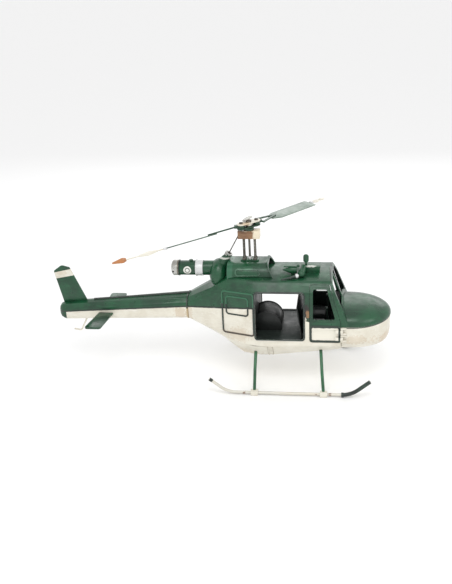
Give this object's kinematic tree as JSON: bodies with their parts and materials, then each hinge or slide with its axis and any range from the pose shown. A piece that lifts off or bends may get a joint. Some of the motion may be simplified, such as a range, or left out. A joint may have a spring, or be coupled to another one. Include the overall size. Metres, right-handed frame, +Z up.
{
  "type": "toy helicopter",
  "caption": "Handmade painted tin toy helicopter with an open cabin, hinged cockpit doors, skids, a turning main rotor with folding blades and a small tail rotor.",
  "frame": {"origin": "on the surface it stands on, under the middle of the right skid's rear saddle", "axes": "+X to the nose, +Y to the left side, +Z up"},
  "size_m": [0.3806, 0.1932, 0.1884],
  "materials": {
    "cream_paint": "aged enamel with warm stains",
    "outline_paint": "dark outline enamel",
    "green_paint": "hand-brushed gloss enamel, worn at edges",
    "interior_paint": "dull dark enamel",
    "bare_steel": "dull bare wire and nuts",
    "silver_paint": "silver enamel",
    "aged_brass": "darkened brass",
    "orange_paint": "orange-brown enamel"
  },
  "bodies": {
    "fuselage": {"belly_pan": "cream_paint", "boom_lower": "cream_paint", "boom_trim": "outline_paint", "boom_upper_half": "green_paint", "cabin_floor": "interior_paint", "cabin_frames": "outline_paint", "cabin_posts": "green_paint", "controls": "interior_paint", "cowling_trim": "outline_paint", "door_hinges": "bare_steel", "drum": "interior_paint", "engine_cowling": "green_paint", "exhaust_bands": "silver_paint", "exhaust_cap": "silver_paint", "exhaust_tube": "green_paint", "fairing": "green_paint", "fin_band": "cream_paint", "fin_sheet": "green_paint", "front_partition": "interior_paint", "funnel_and_stay": "silver_paint", "horn": "green_paint", "junction_box": "green_paint", "lower_side_panels": "cream_paint", "mast_block": "aged_brass", "mast_supports": "bare_steel", "nose_cover": "green_paint", "nose_lower": "cream_paint", "outlines": "outline_paint", "pitot": "bare_steel", "rear_bulkhead": "interior_paint", "roof_elbow": "green_paint", "roof_paddle": "green_paint", "roof_panel": "green_paint", "seats": "interior_paint", "skeg": "bare_steel", "skid_legs": "green_paint", "skid_saddles": "cream_paint", "skid_toes": "outline_paint", "skid_tubes": "cream_paint", "stabilisers": "green_paint", "tail_cone_lower": "cream_paint", "tail_cone_upper": "green_paint", "tail_rotor_pin": "bare_steel", "upper_side_panels": "green_paint", "windscreen": "outline_paint"},
    "right_door": {"right_cockpit_door": "green_paint"},
    "left_door": {"left_cockpit_door": "green_paint"},
    "main_rotor": {"rotor_shaft": "bare_steel", "hub_plates": "cream_paint", "hub_fasteners": "bare_steel", "hub_oval_plate": "bare_steel"},
    "near_blade": {"near_blade": "green_paint", "near_blade_end": "cream_paint", "near_blade_tip": "orange_paint", "near_grip": "green_paint"},
    "far_blade": {"far_blade": "green_paint", "far_blade_end": "cream_paint", "far_blade_tip": "bare_steel", "far_grip": "green_paint"},
    "tail_rotor": {"tail_rotor": "green_paint"}
  },
  "joints": [
    {"name": "main_rotor_spin", "type": "hinge", "parent": "fuselage", "child": "main_rotor", "pos_m": [-0.006, 0.0573, 0.17], "axis": [0, 0, 1], "continuous": true},
    {"name": "near_blade_fold", "type": "hinge", "parent": "main_rotor", "child": "near_blade", "pos_m": [-0.01355, 0.05074, 0.1788], "axis": [0, 0, 1], "range_deg": [-25, 45]},
    {"name": "far_blade_fold", "type": "hinge", "parent": "main_rotor", "child": "far_blade", "pos_m": [0.00155, 0.06386, 0.1788], "axis": [0, 0, 1], "range_deg": [-45, 25]},
    {"name": "tail_rotor_spin", "type": "hinge", "parent": "fuselage", "child": "tail_rotor", "pos_m": [-0.217, 0.0613, 0.106], "axis": [0, 1, 0], "continuous": true},
    {"name": "right_door_swing", "type": "hinge", "parent": "fuselage", "child": "right_door", "pos_m": [0.0949, 0.0173, 0.07], "axis": [0, 0, 1], "range_deg": [0, 70]},
    {"name": "left_door_swing", "type": "hinge", "parent": "fuselage", "child": "left_door", "pos_m": [0.0949, 0.0973, 0.07], "axis": [0, 0, 1], "range_deg": [-70, 0]}
  ]
}
